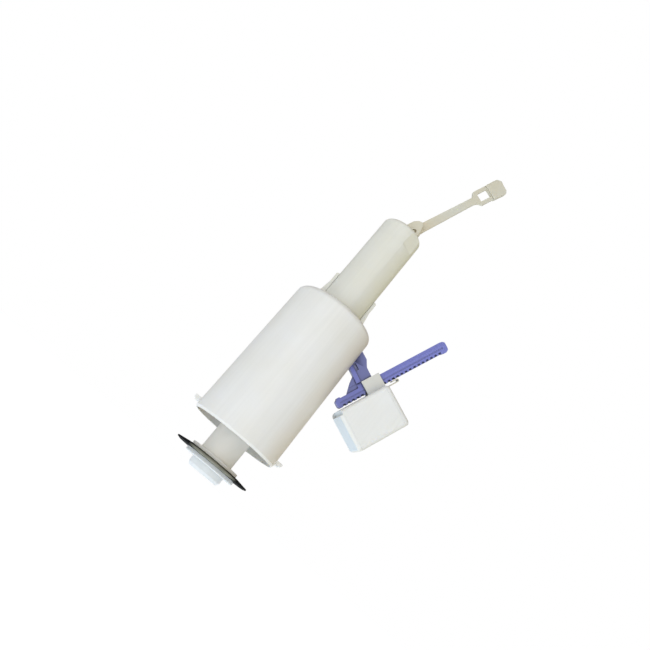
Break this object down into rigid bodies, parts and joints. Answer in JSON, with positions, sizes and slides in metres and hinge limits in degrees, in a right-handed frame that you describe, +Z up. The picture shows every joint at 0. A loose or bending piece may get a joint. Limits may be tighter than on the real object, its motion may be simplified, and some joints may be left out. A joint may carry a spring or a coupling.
{
  "type": "cistern flush valve",
  "caption": "Tall white bell-shaped cistern flush valve with a round rubber seal, overflow riser, leaning pull rod and a blue rack lever carrying a small adjustable float.",
  "frame": {"origin": "on the valve's axis, at the sealing plane of the rubber washer, with the valve closed", "axes": "+Z up the valve's axis towards the pull rod; +X towards the part-flush lever and its small float"},
  "size_m": [0.1351, 0.0716, 0.3445],
  "materials": {
    "shell_plastic": "satin moulded",
    "riser_plastic": "satin moulded, slightly creamy",
    "bright_plastic": "satin moulded",
    "seal_rubber": "matt",
    "rod_plastic": "matt moulded",
    "lever_plastic": "blue, matt moulded",
    "float_plastic": "satin moulded"
  },
  "bodies": {
    "housing": {"bell_housing": "shell_plastic", "neck_guide": "riser_plastic", "lever_bracket": "shell_plastic", "lever_pin": "rod_plastic"},
    "valve_stem": {"valve_tube": "riser_plastic", "seal_washer": "seal_rubber", "clamp_disc": "bright_plastic", "retainer_nut": "bright_plastic", "inner_float": "shell_plastic", "float_lock_ring": "shell_plastic", "riser_tube": "riser_plastic", "joint_seal": "seal_rubber", "catch_collar": "shell_plastic", "top_cap": "riser_plastic", "rod_pin": "rod_plastic"},
    "rod": {"pull_rod": "rod_plastic", "rod_end_tab": "rod_plastic"},
    "lever": {"float_lever": "lever_plastic"},
    "part_flush_float": {"small_float": "float_plastic", "float_lid": "float_plastic"},
    "latch": {"latch_finger": "float_plastic"}
  },
  "joints": [
    {"name": "valve_lift", "type": "slide", "parent": "housing", "child": "valve_stem", "axis": [0, 0, 1], "range_m": [0, 0.02]},
    {"name": "rod_swing", "type": "hinge", "parent": "valve_stem", "child": "rod", "pos_m": [0.0061, 0, 0.2433], "axis": [0, 1, 0], "range_deg": [-50, 0]},
    {"name": "lever_swing", "type": "hinge", "parent": "housing", "child": "lever", "pos_m": [0.0291, 0, 0.1247], "axis": [0, 1, 0], "range_deg": [-22.9, 0]},
    {"name": "float_height", "type": "slide", "parent": "lever", "child": "part_flush_float", "axis": [0.3891, 0, 0.9212], "range_m": [0, 0.042]},
    {"name": "latch_flex", "type": "hinge", "parent": "part_flush_float", "child": "latch", "pos_m": [0.07036, 0, 0.12497], "axis": [0, 1, 0], "range_deg": [0, 10], "stiffness_Nm_per_rad": 0.05}
  ]
}
